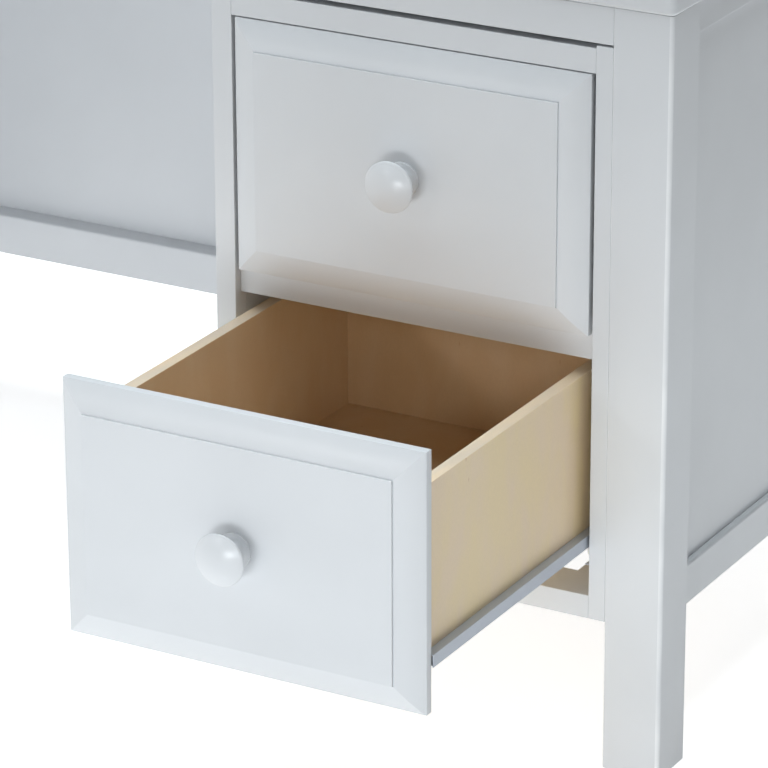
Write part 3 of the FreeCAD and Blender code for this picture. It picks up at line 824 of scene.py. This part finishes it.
WHITE = (1.0, 1.0, 1.0)
SOFTBOXES = {
    # name: (place m, aimed at m, width and height m, beam degrees, watts, colour)
    "overhead": ((0.0, 0.0, 3.0), (0.0, 0.0, 0.0), (3.0, 3.0), 180, 98, (0.89, 0.965, 1.0)),
    "front_low": ((0.6, -3.8, 0.3), (0.3, -0.3, 0.2), (2.6, 0.6), 32, 3.2, (0.92, 0.97, 1.0)),
    "left_low": ((-3.8, -0.6, 0.3), (-0.2, -0.1, 0.2), (2.2, 0.6), 32, 0.8, (1.0, 0.93, 0.86)),
    "left_front": ((-2.6, -2.8, 0.85), (0.3, -0.5, 0.3), (0.9, 0.9), 60, 0.25, (1.0, 0.97, 0.94)),
    "right_high": ((3.0, -1.4, 2.2), (0.4, -0.4, 0.4), (0.6, 0.6), 60, 0.25, WHITE),
    "over_drawer_right": ((2.2, -3.0, 1.6), (0.42, -0.3, 0.36), (1.0, 0.5), 12, 0.12, WHITE),
    "over_drawer_left": ((-1.2, -3.4, 1.5), (0.36, -0.3, 0.36), (1.0, 0.5), 12, 0.15, WHITE),
}


def add_softboxes():
    """Soft area lights, which the camera doesn't see."""
    for name, (place, aim, (width, height), beam, watts, colour) in SOFTBOXES.items():
        lamp = bpy.data.lights.new(name, "AREA")
        lamp.shape = "RECTANGLE"
        lamp.size = width
        lamp.size_y = height
        lamp.spread = math.radians(beam)
        lamp.energy = watts
        lamp.color = colour
        light = bpy.data.objects.new(name, lamp)
        light.visible_camera = False
        light.location = place
        light.rotation_euler = (Vector(place) - Vector(aim)).to_track_quat("Z", "Y").to_euler()
        bpy.context.scene.collection.objects.link(light)


def add_world():
    """White wall that the camera sees behind everything and that gives the desk no light."""
    world = bpy.data.worlds.new("Studio")
    world.use_nodes = True
    bpy.context.scene.world = world
    tree = world.node_tree
    ray = add_node(tree, "ShaderNodeLightPath")
    wall = tree.nodes["Background"]
    wall.inputs["Color"].default_value = (*WHITE, 1.0)
    tree.links.new(ray.outputs["Is Camera Ray"], wall.inputs["Strength"])


def add_floor(settings):
    """Floor of lit white paper, which looks a little brighter than what it lights the desk with."""
    mesh = bpy.data.meshes.new("studio_floor")
    reach = 40.0
    glow_given, glow_seen = 0.40, 0.70
    corners = [(-reach, -reach, 0), (reach, -reach, 0), (reach, reach, 0), (-reach, reach, 0)]
    mesh.from_pydata(corners, [], [(0, 1, 2, 3)])
    floor = bpy.data.objects.new("studio_floor", mesh)
    bpy.context.scene.collection.objects.link(floor)
    constants = {"Roughness": 0.9, "Emission Color": (*WHITE, 1.0)}
    paper, tree, shader = new_material("studio_paper", constants, settings.floor)
    ray = add_node(tree, "ShaderNodeLightPath")
    glow = add_node(tree, "ShaderNodeMapRange", None,
                    {"Value": ray.outputs["Is Camera Ray"], "To Min": glow_given,
                     "To Max": glow_seen})
    tree.links.new(glow.outputs["Result"], shader.inputs["Emission Strength"])
    mesh.materials.append(paper)


def add_camera(settings):
    """Camera aimed at a point in the plane of the desk's front, beside the pedestal's middle."""
    opening_low, opening_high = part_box("pedestal_top_rail")
    middle = (opening_low.x + opening_high.x) / 2
    aim = Vector((middle - settings.aim_left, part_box("front_apron")[0].y, settings.aim_height))
    way = direction_to(settings.azimuth, settings.elevation)
    data = bpy.data.cameras.new("camera")
    data.sensor_width = 36.0
    data.lens = settings.lens
    data.clip_end = 200.0
    camera = bpy.data.objects.new("camera", data)
    camera.location = aim + way * settings.distance
    camera.rotation_euler = way.to_track_quat("Z", "Y").to_euler()
    camera.rotation_euler.rotate_axis("Z", settings.roll)
    bpy.context.scene.collection.objects.link(camera)
    bpy.context.scene.camera = camera


class DESK_OT_stage(bpy.types.Operator):
    """Makes the pale floor, the soft lights and the camera"""
    bl_idname = "desk.stage"
    bl_label = "Studio"

    def execute(self, context):
        settings = context.scene.desk_stage
        add_floor(settings)
        add_softboxes()
        add_world()
        add_camera(settings)
        context.scene.view_settings.view_transform = "Standard"
        return {"FINISHED"}


# --- panel and registration ------------------------------------------------------

STEPS = ("boards", "top", "fronts", "knobs", "boxes", "slides", "rollers", "fittings", "stage")


class DESK_PT_sidebar(bpy.types.Panel):
    """Lists the desk's pieces and their settings"""
    bl_idname = "DESK_PT_sidebar"
    bl_label = "Writing Desk"
    bl_space_type = "VIEW_3D"
    bl_region_type = "UI"
    bl_category = "Desk"

    def draw(self, context):
        for step in STEPS:
            self.layout.operator("desk." + step)
        for group in SETTINGS:
            box = self.layout.box()
            settings = getattr(context.scene, group)
            for key in settings.bl_rna.properties.keys():
                if key not in ("rna_type", "name"):
                    box.prop(settings, key)


SETTINGS = {"desk_finish": DeskFinishSettings, "desk_shape": DeskShapeSettings,
            "desk_front": DeskFrontSettings, "desk_knob": DeskKnobSettings,
            "desk_stage": DeskStageSettings}
CLASSES = (*SETTINGS.values(), DESK_OT_boards, DESK_OT_top, DESK_OT_fronts, DESK_OT_knobs,
           DESK_OT_boxes, DESK_OT_slides, DESK_OT_rollers, DESK_OT_fittings, DESK_OT_stage,
           DESK_PT_sidebar)


def register():
    for cls in CLASSES:
        bpy.utils.register_class(cls)
    for group, cls in SETTINGS.items():
        setattr(bpy.types.Scene, group, bpy.props.PointerProperty(type=cls))


def unregister():
    for group in SETTINGS:
        delattr(bpy.types.Scene, group)
    for cls in reversed(CLASSES):
        bpy.utils.unregister_class(cls)


def main():
    register()
    for step in STEPS:
        getattr(bpy.ops.desk, step)()
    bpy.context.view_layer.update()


if __name__ == "__main__":
    main()
